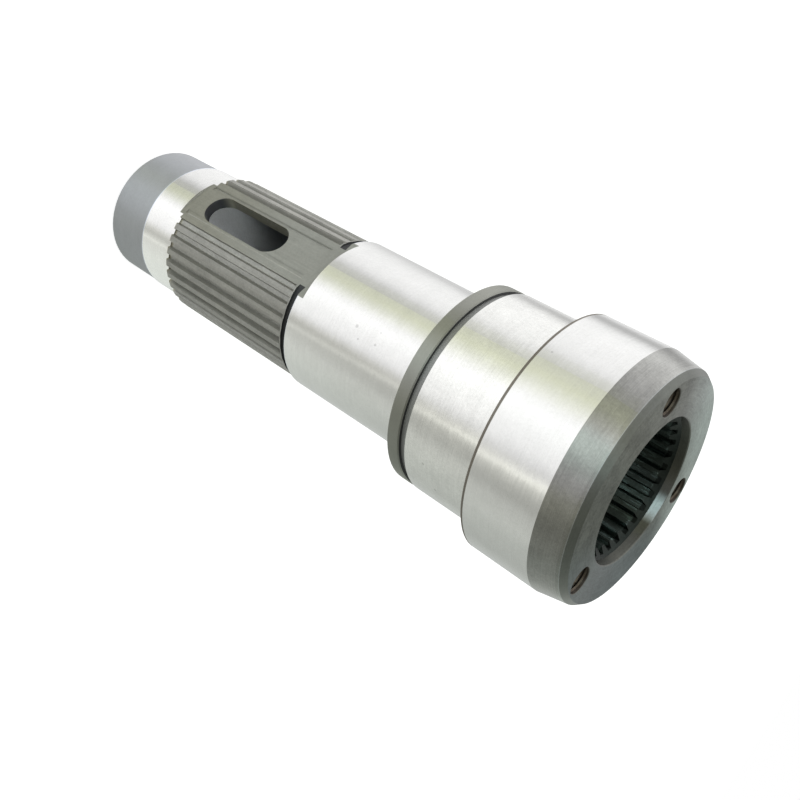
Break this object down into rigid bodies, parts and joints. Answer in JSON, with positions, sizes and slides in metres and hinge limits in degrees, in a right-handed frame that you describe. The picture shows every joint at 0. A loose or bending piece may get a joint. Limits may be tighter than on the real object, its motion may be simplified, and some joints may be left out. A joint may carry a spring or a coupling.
{
  "type": "hollow power take-off shaft",
  "caption": "Hollow stepped steel shaft with outer splines, a slotted milled flat, ground journals, a snap ring groove and an internally splined mouth with tapped holes.",
  "frame": {"origin": "centre of the nose end face, which the shaft stands on", "axes": "+Z along the shaft's axis from the nose to the splined mouth, +X out of the milled flat and its slot"},
  "size_m": [0.08, 0.08, 0.226],
  "materials": {
    "steel": "ground journals, the rest as turned and milled"
  },
  "bodies": {
    "root": {"hollow_shaft": "steel"}
  },
  "joints": []
}
